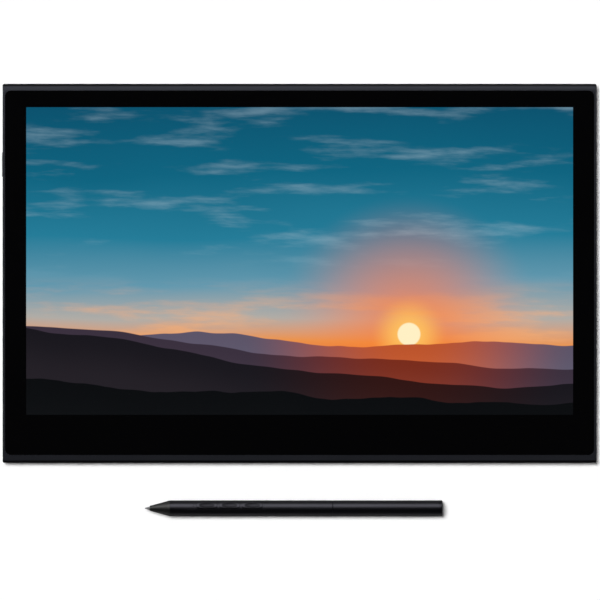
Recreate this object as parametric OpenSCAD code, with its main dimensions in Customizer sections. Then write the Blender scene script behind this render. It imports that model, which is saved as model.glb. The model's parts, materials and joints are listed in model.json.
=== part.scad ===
// Pen display: a thin drawing tablet with a screen, what it holds inside,
// and the pen that lies in front of it.
// Millimetres. Z = 0 is the desk, +Z points out of the screen and +Y points to the top of the screen.
// The origin is the middle of the floor that tablet and pen cover together.

/* [Screen] */
// Width of the lit area
screen_w = 292.8; // [260:0.1:360]
// Height of the lit area
screen_h = 164.7; // [146:0.1:210]
// From the lit area to the left and right edges of the casing
bezel_side = 12.7; // [11.5:0.1:20]
// From the lit area to the top edge of the casing
bezel_top = 12.6; // [11:0.1:20]
// From the lit area to the bottom edge of the casing
bezel_bottom = 25.8; // [24:0.1:40]
// Display panel beyond the lit area at the left and right
panel_side = 1.2; // [0.8:0.1:1.8]
// Display panel beyond the lit area at the top
panel_top = 2; // [1:0.1:3]
// Display panel beyond the lit area at the bottom, where its ribbons are bonded
panel_bottom = 5; // [3:0.1:6]

/* [Layers] */
// Thickness of the cover glass
glass_t = 0.7; // [0.5:0.05:1.2]
// How far the glass stands above the metal rim
glass_proud = 0.1; // [0:0.05:0.25]
// Gap between the glass and the rim
glass_gap = 0.15; // [0.1:0.05:0.3]
// Corner radius of the glass
glass_r = 3; // [1.5:0.1:8]
// Thickness of the adhesive tape under the edge of the glass
tape_t = 0.15; // [0.1:0.05:0.3]
// Thickness of the display panel
panel_t = 1.05; // [0.9:0.05:1.2]
// Thickness of the pen-sensing board
digitizer_t = 0.4; // [0.3:0.05:0.5]
// Thickness of the shield sheet behind the pen-sensing board
shield_t = 0.15; // [0.1:0.05:0.2]
// Floor of the support plate
plate_t = 0.7; // [0.6:0.05:0.8]
// Side clearance of the layers in the support plate
layer_gap = 0.3; // [0.2:0.05:0.5]

/* [Casing] */
// Corner radius seen from the front
corner_r = 1; // [0.8:0.1:4]
// Rounding of the edges at the back
rear_edge_r = 1.2; // [0.6:0.1:1.4]
// Rounding of the left and right edges at the front
front_edge_r = 0.8; // [0.3:0.05:0.9]
// Width of the chamfer along the top and bottom edges of the front
front_chamfer = 1; // [0.4:0.05:1.4]
// Fall of that chamfer
front_fall = 0.8; // [0.3:0.05:0.9]
// Thickness of the rear cover's side walls
side_wall = 1.3; // [1:0.05:1.6]
// Floor of the rear cover under the hump
hump_floor = 1; // [0.9:0.05:1.5]
// Floor of the rear cover under the thin part
thin_floor = 0.9; // [0.8:0.05:1.2]
// Length of the slope from the hump to the thin part
hump_slope = 24; // [16:1:40]
// From the power button to the start of the slope
hump_margin = 6.3; // [5:0.1:16]
// Metal rim above the glass
rim_top = 3.6; // [2.5:0.1:5]
// Metal rim below the glass
rim_bottom = 4.2; // [2.5:0.1:6]
// Metal rim at the left and right of the glass
rim_side = 1.3; // [1.2:0.1:2.5]
// Fall of the top and bottom rims towards their chamfers
rim_drop = 0.35; // [0.1:0.05:0.45]
// Thickness of the ledge that the glass is taped to
ledge_t = 0.55; // [0.5:0.05:1]
// Thickness of the stiffening ribs under the slope
rib_t = 0.8; // [0.5:0.1:1.2]
// Spacing of the stiffening ribs
rib_pitch = 40; // [32:1:42]

/* [Feet and screws] */
// How far the upper foot stands below the hump
foot_t = 0.6; // [0.4:0.1:1.2]
// Depth of the foot recesses in the rear cover
foot_recess = 0.3; // [0.2:0.05:0.35]
// Width of both feet
foot_w = 8; // [6.5:0.5:10]
// From the casing's edge to the middle of a foot and its screws
foot_inset = 10; // [9:0.5:11]
// From the casing's side to the end of a foot
foot_end = 16; // [12:1:40]
// Diameter of the cover screws and board screws
screw_d = 1.6; // [1.4:0.1:1.8]
// Diameter of the screw heads
screw_head_d = 2.8; // [2.4:0.1:3]
// Thickness of the cover screws' heads
screw_head_t = 0.5; // [0.4:0.05:0.5]
// From the casing's side to the outer cover screws
screw_inset = 23; // [20:0.5:40]

/* [Ports and power button] */
// From the top edge to the middle of the ports
port_from_top = 21; // [19:0.5:25]
// Width of a port's opening
port_open_w = 8.34; // [8.3:0.02:8.4]
// Height of a port's opening
port_open_h = 2.56; // [2.5:0.02:2.6]
// Sheet thickness of a port's metal shell
port_shell_t = 0.2; // [0.15:0.05:0.3]
// Depth of a port
port_depth = 7.35; // [6.5:0.05:7.5]
// How far a port's mouth lies inside the casing's side
port_recess = 0.3; // [0.1:0.05:0.6]
// Casing left above a port, up to the parting line
port_roof = 0.6; // [0.5:0.05:0.9]
// From the top edge to the middle of the power button
power_from_top = 43.2; // [38:0.1:60]
// Length of the power button
power_len = 13; // [9:0.1:16]
// Height of the power button
power_h = 2; // [1.4:0.1:2.2]
// How far the power button stands out of the casing's side
power_proud = 0.3; // [0.3:0.05:0.8]
// Travel of the power button
power_travel = 0.25; // [0.15:0.05:0.3]

/* [Circuit boards] */
// Thickness of the main board and the port board
board_t = 0.8; // [0.6:0.05:0.85]
// Width of the main board
main_board_w = 190; // [170:1:230]
// Width of the port board
port_board_w = 50; // [44:1:60]
// Height of the port board
port_board_h = 26; // [22:1:30]
// From the top edge of the casing to the boards
board_from_top = 13.5; // [13.5:0.1:14]
// Width of the display driver board in the chin
driver_w = 76; // [60:1:100]
// Depth of the display driver board
driver_d = 10; // [8:0.5:11]
// Thickness of the display driver board
driver_t = 0.6; // [0.4:0.05:0.7]
// Thickness of the flat ribbons
ribbon_t = 0.12; // [0.08:0.01:0.16]
// Width of the ribbon from the chin to the main board
link_w = 16; // [10:1:24]
// Width of the pen-sensing board's ribbon
sensing_ribbon_w = 12; // [8:1:14]

/* [Pen] */
// Length of the pen with its nib
pen_len = 159.5; // [145:0.1:175]
// Diameter of the barrel
pen_d = 8.5; // [8.2:0.1:11]
// Wall of the barrel
pen_wall = 0.9; // [0.7:0.05:1]
// Gap on the desk between tablet and pen
pen_gap = 20.1; // [8:0.1:60]
// Middle of the pen beside the middle of the tablet
pen_shift = -3.2; // [-60:0.1:60]
// Turn of the side buttons towards the tablet
pen_roll = 24; // [0:1:45]
// Length of the nose cone
nose_len = 10.8; // [9:0.1:14]
// Diameter at the front of the nose cone
nose_d = 2.7; // [2.6:0.1:4]
// How far the nib stands out of the nose cone
nib_out = 2.6; // [1.5:0.1:3.5]
// Diameter of the nib
nib_d = 1.6; // [1.2:0.1:1.8]
// Length of the nib
nib_len = 27; // [26:0.1:28]
// Travel of the nib
nib_travel = 0.35; // [0.2:0.05:0.5]
// From the tip to the seam between the two barrels
seam_from_tip = 100.7; // [92:0.1:110]
// Width of the groove at that seam
seam_groove = 0.4; // [0.2:0.05:0.8]
// Length of the tail cap that shows
tail_len = 1.3; // [1:0.1:4]
// From the tip to the middle side button
side_button_from_tip = 45.5; // [44.5:0.1:50]
// Spacing of the side buttons
side_button_pitch = 12.2; // [12.2:0.1:13]
// Length of a side button
side_button_len = 11; // [8:0.1:11.1]
// Width of a side button
side_button_w = 3.2; // [2.4:0.1:3.4]
// How far a side button stands out of the barrel
side_button_proud = 0.35; // [0.2:0.05:0.8]
// Depth of the dish in a side button, below its long sides
side_button_dish = 0.4; // [0.2:0.05:0.6]
// Travel of a side button
side_button_travel = 0.3; // [0.2:0.05:0.35]
// Length of the spare nibs' holder
nib_holder_len = 23; // [18:0.5:26]

/* [Hidden] */
$fn = 96;

// Clearances and small sizes shared by several pieces
close_fit = 0.05;
slide_fit = 0.1;
loose_fit = 0.2;
overlap = 0.1;
margin = 2;
arc_steps = 6;
slope_steps = 12;

// Outline of the casing
body_w = screen_w + 2 * bezel_side;
body_h = screen_h + bezel_top + bezel_bottom;
half_w = body_w / 2;
half_h = body_h / 2;

// Places of the tablet and the pen on the desk
floor_h = body_h + pen_gap + pen_d;
tablet_y = (floor_h - body_h) / 2;
pen_y = (pen_d - floor_h) / 2;
pen_tip_x = pen_shift - pen_len / 2;

// Heights, from the desk up to the glass: the port sets the depth of the hump
port_h = port_open_h + 2 * port_shell_t;
port_w = port_open_w + 2 * port_shell_t;
z_hump = foot_t;
z_hump_in = z_hump + hump_floor;
z_port = z_hump_in + close_fit + port_h / 2;
z_part = z_port + port_h / 2 + port_roof;
z_ledge = z_part + ledge_t;
z_glass = z_ledge + tape_t;
z_top = z_glass + glass_t;
z_rim = z_top - glass_proud;

// Heights of the layers, from the glass down to the thin part of the rear cover
z_panel = z_glass - panel_t;
z_digitizer = z_panel - digitizer_t;
z_shield = z_digitizer - shield_t;
z_plate = z_shield - plate_t;
z_thin_in = z_plate - slide_fit;
z_thin = z_thin_in - thin_floor;

// The hump ends below the power button
hump_len = power_from_top + power_len / 2 + hump_margin;
hump_y = half_h - hump_len;
slope_end_y = hump_y - hump_slope;

// Glass
glass_w = body_w - 2 * (rim_side + glass_gap);
glass_h = body_h - rim_top - rim_bottom - 2 * glass_gap;
glass_y = (rim_bottom - rim_top) / 2;
tape_edge = 0.4;

// Display panel and the layers behind it
panel_w = screen_w + 2 * panel_side;
panel_h = screen_h + panel_top + panel_bottom;
panel_y = (bezel_bottom - bezel_top + panel_top - panel_bottom) / 2;
panel_low_y = panel_y - panel_h / 2;

// Ports
port_y = half_h - port_from_top;
port_end_x = half_w - port_recess - port_depth;
port_wing_w = 1.2;
port_wing_l = 1.5;
port_wing_t = 0.25;
port_wing_back = 1.6;
tongue_w = 6.69;
tongue_t = 0.7;
tongue_back = 2.3;
tongue_inset = 0.8;
contact_gap = 0.02;

// Boards in the hump: the ports sit in notches of the boards
board_drop = 0.22;
board_side_gap = 1.2;
board_low_gap = 3;
z_board_top = z_port - board_drop;
z_board = z_board_top - board_t;
board_edge_x = half_w - side_wall - board_side_gap;
board_top_y = half_h - board_from_top;
main_low_y = hump_y + board_low_gap;
main_h = board_top_y - main_low_y;
main_x = main_board_w / 2 - board_edge_x;
main_y = (board_top_y + main_low_y) / 2;
port_board_x = board_edge_x - port_board_w / 2;
port_board_y = board_top_y - port_board_h / 2;
ribbon_side = 1;
ribbon_lap = 5;
boss_d = 4;
boss_ribbon_gap = 1;
boss_inset_x = 14;
boss_inset_y = ribbon_side + ribbon_lap + boss_ribbon_gap + boss_d / 2;
main_bosses = [
    for (sx = [-1, 1], sy = [-1, 1])
        [main_x + sx * (main_board_w / 2 - boss_inset_x), main_y + sy * (main_h / 2 - boss_inset_y)]
];
port_boss_y = port_board_y - port_board_h / 2 + boss_inset_y;
port_bosses = [for (sx = [-1, 1]) [port_board_x + sx * (port_board_w / 2 - boss_inset_x), port_boss_y]];
board_bosses = concat(main_bosses, port_bosses);
board_screw_depth = 0.4;
board_head_t = z_board - z_hump_in - 2 * close_fit;

// Chips on the main board stand beside the pen-sensing ribbon, in a lower and an upper row
chip_t = z_plate - z_board_top - loose_fit;
chip_gap = 2;
chip_row_h = 8;
chip_clear = sensing_ribbon_w / 2 + chip_gap;
chip_low_y = main_low_y + ribbon_side + ribbon_lap + chip_gap;
can_size = [34, main_h - chip_row_h - 3 * chip_gap];
can_sheet = 0.15;

// Chips of each group: distance from the ribbon's clear strip, width and depth
left_low_chips = [[can_size.x + chip_gap, 16, 12]];
left_top_chips = [[0, 14, 8], [18, 8, 6]];
right_low_chips = [[0, 10, 10], [14, 8, 8]];
right_top_chips = [[0, 12, 8]];
port_chip = [9, 7];

// Support plate, between the two ports
plate_port_gap = 0.5;
plate_w = 2 * (port_end_x - plate_port_gap);
plate_h = body_h - 2 * (side_wall + layer_gap);
driver_gap = 1.5;
driver_top_y = panel_low_y - driver_gap;
driver_low_y = driver_top_y - driver_d;
driver_pocket_low_y = driver_low_y - layer_gap;
link_slot_low_y = driver_low_y + ribbon_side;
link_slot_top_y = driver_top_y - ribbon_side / 2;
link_slot_lap = 2.5;
link_channel = 0.3;
link_fall = 8;
link_x = 0;
sensing_x = main_x;
sensing_slot_l = 13;
sensing_slot_top_y = board_top_y;
sensing_slot_low_y = board_top_y - sensing_slot_l;

// Ribbons between display panel and driver board
panel_ribbon_w = 18;
panel_ribbon_x = 20;
panel_ribbon_lap = 3;
port_ribbon_w = 8;

// Cover screws: the lower ones meet the thin part, the upper ones the hump
screw_y = half_h - foot_inset;
screw_driver_gap = 8;
screw_x = [half_w - screw_inset, driver_w / 2 + screw_driver_gap];
post_d = 4.4;
pad_d = 6;
post_h = 0.6;
z_post = z_hump_in + post_h;
z_pad = z_thin_in + post_h;
screw_end = 0.3;
upper_screw_top = z_plate + screw_end;
lower_screw_top = z_part - screw_end;
hole_end = 0.1;
drive_depth = 0.7;
drive_r = screw_d / 2.5;
drive_outline = [for (i = [0 : 5]) [drive_r * cos(60 * i), drive_r * sin(60 * i)]];
upper_seat = z_hump + foot_recess + close_fit;
lower_seat = z_thin + foot_recess + close_fit;

// Power button, its flange behind the wall and its switch on the main board
power_y = half_h - power_from_top;
switch_w = 4.6;
switch_h = 1.6;
switch_d = 3;
plunger_w = 1.6;
plunger_h = 0.9;
plunger_out = 0.7;
plunger_in = 0.3;
z_power = z_board_top + switch_h / 2;
power_flange_t = 0.5;
power_flange_x = half_w - side_wall - close_fit;
power_flange_lip = 1.1;
power_flange_lip_h = 0.45;
switch_inset = 0.8;
switch_x = board_edge_x - switch_inset;
power_nub_d = 1.4;

// Pen radii
pen_r = pen_d / 2;
pen_in_r = pen_r - pen_wall;
spigot_r = pen_in_r - close_fit;
spigot_len = 5.4;
nose_end = nib_out + nose_len;
nose_edge_r = 0.3;
nib_r = nib_d / 2;
nib_bore_r = nib_r + slide_fit;
nib_taper = 1.9;
nib_point_r = 0.35;
edge_break = 0.12;
seam_break = seam_groove / 2;
tail_start = pen_len - tail_len;
tail_edge_r = 0.6;

// Coil and pressure sensor behind the nose
spigot_wall = 0.5;
winding_t = 0.6;
cavity_r = spigot_r - spigot_wall;
winding_r = cavity_r - slide_fit;
core_r = winding_r - winding_t;
core_bore_r = nib_r + loose_fit;
coil_lap = 1.4;
coil_start = nose_end - coil_lap;
coil_len = 12.4;
winding_inset = 1;
sensor_start = coil_start + coil_len + loose_fit;
sensor_back = 2;
sensor_bore_end = nib_len + nib_travel + loose_fit;
sensor_end = sensor_bore_end + sensor_back;

// Chassis, circuit board and side buttons
chassis_r = pen_in_r - slide_fit;
chassis_wall = 0.75;
chassis_in_r = chassis_r - chassis_wall;
sensor_r = chassis_in_r - slide_fit;
joiner_len = 11;
joiner_front = 5;
chassis_end = seam_from_tip - joiner_front - loose_fit;
pen_board_t = 0.8;
pen_board_start = sensor_end + loose_fit;
pen_board_end = chassis_end - loose_fit;
pen_board_half = sqrt(pow(chassis_r, 2) - pow(pen_board_t, 2)) - loose_fit;
dome_d = 2.8;
dome_t = 0.45;
dome_gap = 0.05;
flange_lip = 0.4;
flange_end_lip = 0.3;
flange_t = 0.45;
flange_half = side_button_w / 2 + flange_lip;
flange_top = sqrt(pow(pen_in_r, 2) - pow(flange_half, 2)) - slide_fit - close_fit;
flange_low = flange_top - flange_t;
stem_low = pen_board_t + dome_t + side_button_travel + dome_gap;
stem_d = 1.8;
plate_low = flange_top + close_fit;
sensor_flat = flange_low - side_button_travel - slide_fit;
side_button_r = 1.2;
side_button_places = [for (i = [-1 : 1]) side_button_from_tip + i * side_button_pitch];
button_row_len = 2 * side_button_pitch + side_button_len;
button_plate_end = 1.5;
button_plate_side = 0.65;
button_plate_len = button_row_len + 2 * (slide_fit + button_plate_end);
button_plate_w = side_button_w + 2 * (slide_fit + button_plate_side);
button_plate_r = side_button_r + button_plate_side;
plate_rib_t = 0.35;
plate_rib_gap = 0.3;
dish_end = 1.5;
dish_rim = 0.2;
rear_rib_u = side_button_from_tip + button_row_len / 2 + flange_end_lip + plate_rib_gap + plate_rib_t;
dish_len = side_button_len - 2 * dish_end;
dish_w = side_button_w - 2 * dish_rim;
dish_across_r = (pow(dish_w / 2, 2) + pow(side_button_dish, 2)) / (2 * side_button_dish);

// Barrel joiner and spare nibs
joiner_wall = 0.9;
joiner_start = seam_from_tip - joiner_front;
joiner_end = joiner_start + joiner_len;
joiner_in_r = spigot_r - joiner_wall;
nib_holder_floor = 1;
nib_holder_gap = 8;
nib_holder_start = joiner_end + nib_holder_gap;
spare_nib_count = 3;
spare_nib_ring_r = 1.7;

// Colours
metal_colour = [0.17, 0.18, 0.20];
cover_colour = [0.10, 0.10, 0.11];
glass_colour = [0.02, 0.02, 0.03];
rubber_colour = [0.05, 0.05, 0.05];
pen_colour = [0.09, 0.09, 0.10];
nib_colour = [0.35, 0.35, 0.37];
board_colour = [0.05, 0.22, 0.14];
chip_colour = [0.07, 0.07, 0.08];
ribbon_colour = [0.62, 0.38, 0.12];
steel_colour = [0.72, 0.73, 0.75];
copper_colour = [0.72, 0.42, 0.20];

// Points on an arc, in degrees
function arc(cx, cy, r, from, to) = [
    for (i = [0 : arc_steps])
        let (a = from + (to - from) * i / arc_steps)
        [cx + r * cos(a), cy + r * sin(a)]
];

// Rectangle with round corners, about its middle
function round_rect(w, h, r) = concat(
    arc(w / 2 - r, h / 2 - r, r, 0, 90),
    arc(r - w / 2, h / 2 - r, r, 90, 180),
    arc(r - w / 2, r - h / 2, r, 180, 270),
    arc(w / 2 - r, r - h / 2, r, 270, 360)
);

// Soft S-shaped step in the back of the casing, from the hump to the thin part
function back_step(z_from, z_to) = [
    for (i = [0 : slope_steps])
        let (t = i / slope_steps)
        [hump_y - hump_slope * t, z_from + (z_to - z_from) * (1 - cos(180 * t)) / 2]
];

// Casing seen from the side: Y to the top of the screen, Z up
function side_profile() = concat(
    [[half_h - rim_top, z_rim]],
    [[half_h - front_chamfer, z_rim - rim_drop], [half_h, z_rim - rim_drop - front_fall]],
    arc(half_h - rear_edge_r, z_hump + rear_edge_r, rear_edge_r, 0, -90),
    back_step(z_hump, z_thin),
    arc(rear_edge_r - half_h, z_thin + rear_edge_r, rear_edge_r, 270, 180),
    [[-half_h, z_rim - rim_drop - front_fall], [front_chamfer - half_h, z_rim - rim_drop]],
    [[rim_bottom - half_h, z_rim]]
);

// Casing seen from the bottom edge, with its back at the given height
function end_profile(z_back) = concat(
    arc(half_w - front_edge_r, z_rim - front_edge_r, front_edge_r, 90, 0),
    arc(half_w - rear_edge_r, z_back + rear_edge_r, rear_edge_r, 0, -90),
    arc(rear_edge_r - half_w, z_back + rear_edge_r, rear_edge_r, 270, 180),
    arc(front_edge_r - half_w, z_rim - front_edge_r, front_edge_r, 180, 90)
);

// Space inside the rear cover, seen from the side
function cavity_profile() = concat(
    [[half_h, z_top], [half_h, z_hump_in]],
    back_step(z_hump_in, z_thin_in),
    [[-half_h, z_thin_in], [-half_h, z_top]]
);

// Centre line of a ribbon thickened upwards and downwards
function ribbon_outline(line) = concat(
    [for (p = line) [p.x, p.y + ribbon_t / 2]],
    [for (i = [len(line) - 1 : -1 : 0]) [line[i].x, line[i].y - ribbon_t / 2]]
);

module on_tablet() {
    translate([0, tablet_y, 0]) children();
}

module on_pen() {
    translate([pen_tip_x, pen_y, pen_r]) rotate([-pen_roll, 0, 0]) children();
}

// Profile in Y and Z, drawn out along X
module along_x(w) {
    rotate([90, 0, 90]) linear_extrude(w, center = true) children();
}

// Profile in X and Z, drawn out along Y between two places
module along_y(from, to) {
    translate([0, to, 0]) rotate([90, 0, 0]) linear_extrude(to - from) children();
}

// Plate of any outline between two heights
module slab(z_from, z_to) {
    translate([0, 0, z_from]) linear_extrude(z_to - z_from) children();
}

// Rectangular block by its middle in X and Y
module block(x, y, w, h, z_from, z_to) {
    translate([x - w / 2, y - h / 2, z_from]) cube([w, h, z_to - z_from]);
}

// Round rod or hole along Z
module rod(x, y, d, z_from, z_to) {
    translate([x, y, z_from]) cylinder(d = d, h = z_to - z_from);
}

// Whole outside of the casing without glass
module casing() {
    intersection() {
        along_x(body_w) polygon(side_profile());
        slab(0, z_top) polygon(round_rect(body_w, body_h, corner_r));
        union() {
            along_y(slope_end_y, half_h) polygon(end_profile(z_hump));
            along_y(-half_h, slope_end_y) polygon(end_profile(z_thin));
        }
    }
}

module cover_space() {
    inner_w = body_w - 2 * side_wall;
    inner_h = body_h - 2 * side_wall;
    intersection() {
        along_x(body_w) polygon(cavity_profile());
        slab(0, z_top) polygon(round_rect(inner_w, inner_h, max(corner_r - side_wall, close_fit)));
    }
}

// Places of the cover screws, all in one row
module at_screws(y) {
    for (x = screw_x, side = [-1, 1])
        translate([side * x, y, 0]) children();
}

module foot_outline(extra) {
    polygon(round_rect(body_w - 2 * foot_end + 2 * extra, foot_w + 2 * extra, foot_w / 2 + extra));
}

// Port seen from outside, as a slot with round ends
module port_outline(extra) {
    h = port_h + 2 * extra;
    polygon(round_rect(port_w + 2 * extra, h, h / 2));
}

// Slot shape on the right side of the casing, drawn inwards from the given X
module on_side(x, y, z, depth) {
    translate([x - depth, y, z]) rotate([90, 0, 90]) linear_extrude(depth) children();
}

// Mirrors a piece made for the right side to the left side
module to_left() {
    mirror([1, 0, 0]) children();
}

module power_outline(extra) {
    h = power_h + 2 * extra;
    polygon(round_rect(power_len + 2 * extra, h, h / 2));
}

// Back shell: a tray with the hump, its ribs, screw posts, port holes and foot recesses
module rear_cover() {
    wall_cut = side_wall + 2 * overlap;
    rib_len = main_low_y - loose_fit - slope_end_y;
    color(cover_colour) on_tablet() difference() {
        union() {
            difference() {
                intersection() {
                    casing();
                    block(0, 0, body_w + margin, body_h + margin, 0, z_part);
                }
                cover_space();
            }
            at_screws(screw_y) rod(0, 0, post_d, z_hump_in - overlap, z_post);
            at_screws(-screw_y) rod(0, 0, pad_d, z_thin_in - overlap, z_pad);
            intersection() {
                for (i = [1 : 3], side = [-1, 1])
                    translate([side * i * rib_pitch - rib_t / 2, slope_end_y, z_hump_in - overlap])
                        cube([rib_t, rib_len, z_thin_in - z_hump_in + overlap]);
                casing();
            }
        }
        on_side(half_w + overlap, port_y, z_port, wall_cut) port_outline(slide_fit);
        to_left() on_side(half_w + overlap, port_y, z_port, wall_cut) port_outline(slide_fit);
        to_left() on_side(half_w + overlap, power_y, z_power, wall_cut) power_outline(slide_fit);
        translate([0, screw_y, 0]) slab(0, z_hump + foot_recess) foot_outline(slide_fit);
        translate([0, -screw_y, 0]) slab(0, z_thin + foot_recess) foot_outline(slide_fit);
        at_screws(screw_y) {
            rod(0, 0, screw_head_d + 2 * slide_fit, 0, upper_seat + screw_head_t);
            rod(0, 0, screw_d + 2 * slide_fit, 0, z_part);
        }
        at_screws(-screw_y) {
            rod(0, 0, screw_head_d + 2 * slide_fit, 0, lower_seat + screw_head_t);
            rod(0, 0, screw_d + 2 * slide_fit, 0, z_part);
        }
    }
}

// Metal rim round the glass, with the ledge that the glass is taped to
module front_frame() {
    color(metal_colour) on_tablet() difference() {
        intersection() {
            casing();
            block(0, 0, body_w + margin, body_h + margin, z_part, z_top);
        }
        translate([0, glass_y, 0]) slab(z_ledge, z_top + overlap)
            polygon(round_rect(glass_w + 2 * glass_gap, glass_h + 2 * glass_gap, glass_r + glass_gap));
        block(0, panel_y, panel_w + 2 * layer_gap, panel_h + 2 * layer_gap, 0, z_top);
    }
}

// Tray that carries the screen layers in front and the circuit boards behind
module support_plate() {
    color(metal_colour) on_tablet() difference() {
        union() {
            block(0, 0, plate_w, plate_h, z_plate, z_part);
            at_screws(screw_y) rod(0, 0, post_d, z_post, z_plate + overlap);
            for (p = board_bosses)
                rod(p.x, p.y, boss_d, z_board_top, z_plate + overlap);
        }
        block(0, panel_y, panel_w + 2 * layer_gap, panel_h + 2 * layer_gap, z_shield, z_top);
        translate([-driver_w / 2 - layer_gap, driver_pocket_low_y, z_shield])
            cube([driver_w + 2 * layer_gap, panel_low_y - driver_pocket_low_y, z_top - z_shield]);
        translate([link_x - link_w / 2 - ribbon_side, link_slot_low_y, 0])
            cube([link_w + 2 * ribbon_side, link_slot_top_y - link_slot_low_y, z_top]);
        translate([link_x - link_w / 2 - ribbon_side, link_slot_low_y, 0])
            cube([link_w + 2 * ribbon_side, main_low_y - link_slot_low_y, z_plate + link_channel]);
        translate([sensing_x - sensing_ribbon_w / 2 - ribbon_side, sensing_slot_low_y, 0])
            cube([sensing_ribbon_w + 2 * ribbon_side, sensing_slot_top_y - sensing_slot_low_y, z_top]);
        at_screws(screw_y) rod(0, 0, screw_d + contact_gap, 0, upper_screw_top + hole_end);
        at_screws(-screw_y) {
            rod(0, 0, pad_d + 2 * loose_fit, 0, z_pad + close_fit);
            rod(0, 0, screw_d + contact_gap, 0, lower_screw_top + hole_end);
        }
        for (p = board_bosses)
            rod(p.x, p.y, screw_d + contact_gap, 0, z_plate + board_screw_depth + hole_end);
    }
}

module cover_glass() {
    color(glass_colour) on_tablet() translate([0, glass_y, 0])
        slab(z_glass, z_top) polygon(round_rect(glass_w, glass_h, glass_r));
}

// Ring of tape between the ledge and the glass
module glass_tape() {
    color(chip_colour) on_tablet() difference() {
        translate([0, glass_y, 0]) slab(z_ledge, z_glass)
            polygon(round_rect(glass_w - 2 * tape_edge, glass_h - 2 * tape_edge, glass_r));
        block(0, panel_y, panel_w + 4 * layer_gap, panel_h + 4 * layer_gap, 0, z_top);
    }
}

module display_panel() {
    color(glass_colour) on_tablet() block(0, panel_y, panel_w, panel_h, z_panel, z_glass);
}

module digitizer_board() {
    color(board_colour) on_tablet() block(0, panel_y, panel_w, panel_h, z_digitizer, z_panel);
}

// Metal sheet behind the pen-sensing board, open where its ribbon leaves
module digitizer_shield() {
    window_w = sensing_ribbon_w + 2 * ribbon_side;
    color(steel_colour) on_tablet() difference() {
        block(0, panel_y, panel_w, panel_h, z_shield, z_digitizer);
        translate([sensing_x - window_w / 2, sensing_slot_low_y, 0])
            cube([window_w, sensing_slot_top_y - sensing_slot_low_y, z_top]);
    }
}

// Ribbon from the pen-sensing board through the support plate to the main board
module digitizer_ribbon() {
    z_start = z_digitizer - ribbon_t / 2;
    z_end = z_board_top + ribbon_t / 2;
    line = [
        [sensing_slot_top_y - ribbon_side, z_start],
        [sensing_slot_top_y - ribbon_lap, z_start],
        [sensing_slot_low_y + ribbon_side, z_end],
        [sensing_slot_low_y + ribbon_side - ribbon_lap, z_end]
    ];
    color(ribbon_colour) on_tablet() translate([sensing_x, 0, 0])
        along_x(sensing_ribbon_w) polygon(ribbon_outline(line));
}

module display_driver_board() {
    color(board_colour) on_tablet() translate([-driver_w / 2, driver_low_y, z_shield])
        cube([driver_w, driver_d, driver_t]);
}

// Short ribbons from the edge of the display panel to its driver board
module panel_ribbons() {
    low_y = driver_top_y - panel_ribbon_lap;
    color(ribbon_colour) on_tablet() for (side = [-1, 1])
        translate([side * panel_ribbon_x - panel_ribbon_w / 2, low_y, z_shield + driver_t])
            cube([panel_ribbon_w, panel_low_y - low_y, ribbon_t]);
}

// Long ribbon from the driver board, through a slot and along a channel, to the main board
module link_ribbon() {
    z_start = z_shield - ribbon_t / 2;
    z_run = z_plate + link_channel / 2;
    z_end = z_board_top + ribbon_t / 2;
    line = [
        [link_slot_low_y + ribbon_side, z_start],
        [link_slot_low_y + ribbon_side + link_slot_lap, z_start],
        [link_slot_top_y - ribbon_side / 2, z_run],
        [main_low_y + ribbon_side - link_fall, z_run],
        [main_low_y + ribbon_side, z_end],
        [main_low_y + ribbon_side + ribbon_lap, z_end]
    ];
    color(ribbon_colour) on_tablet() translate([link_x, 0, 0])
        along_x(link_w) polygon(ribbon_outline(line));
}

// Notch in a board for the port at its outer end
module port_notch() {
    translate([port_end_x - slide_fit, port_y - port_w / 2 - slide_fit, 0])
        cube([half_w, port_w + 2 * slide_fit, z_top]);
}

module main_board() {
    color(board_colour) on_tablet() difference() {
        block(main_x, main_y, main_board_w, main_h, z_board, z_board_top);
        to_left() port_notch();
        for (p = main_bosses)
            rod(p.x, p.y, screw_d + 2 * slide_fit, 0, z_top);
    }
}

module port_board() {
    color(board_colour) on_tablet() difference() {
        block(port_board_x, port_board_y, port_board_w, port_board_h, z_board, z_board_top);
        port_notch();
        for (p = port_bosses)
            rod(p.x, p.y, screw_d + 2 * slide_fit, 0, z_top);
    }
}

// Row of chips to the right of the clear strip, standing on the given line
module chips_above(chips, y) {
    for (c = chips)
        translate([chip_clear + c[0], y, z_board_top]) cube([c[1], c[2], chip_t]);
}

// Row of chips to the right of the clear strip, ending below the given line
module chips_below(chips, y) {
    for (c = chips)
        translate([chip_clear + c[0], y - c[2], z_board_top]) cube([c[1], c[2], chip_t]);
}

module board_chips() {
    top_y = board_top_y - chip_gap;
    color(chip_colour) on_tablet() {
        translate([main_x, 0, 0]) {
            chips_above(right_low_chips, chip_low_y);
            chips_below(right_top_chips, top_y);
            to_left() chips_above(left_low_chips, chip_low_y);
            to_left() chips_below(left_top_chips, top_y);
        }
        translate([port_board_x, port_board_y, z_board_top]) cube([port_chip.x, port_chip.y, chip_t]);
    }
}

// Sheet-metal lid over the radio-sensitive part of the main board
module shield_can() {
    inside = [can_size.x - 2 * can_sheet, can_size.y - 2 * can_sheet, chip_t - can_sheet];
    color(steel_colour) on_tablet()
        translate([main_x - chip_clear - can_size.x, main_low_y + chip_gap, z_board_top]) difference() {
            cube([can_size.x, can_size.y, chip_t]);
            translate([can_sheet, can_sheet, -overlap]) cube([inside.x, inside.y, inside.z + overlap]);
        }
}

// Ribbon between the two boards in the hump
module port_ribbon() {
    from_x = main_board_w - board_edge_x - ribbon_lap;
    to_x = board_edge_x - port_board_w + ribbon_lap;
    color(ribbon_colour) on_tablet()
        translate([from_x, port_board_y, z_board_top]) cube([to_x - from_x, port_ribbon_w, ribbon_t]);
}

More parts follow.
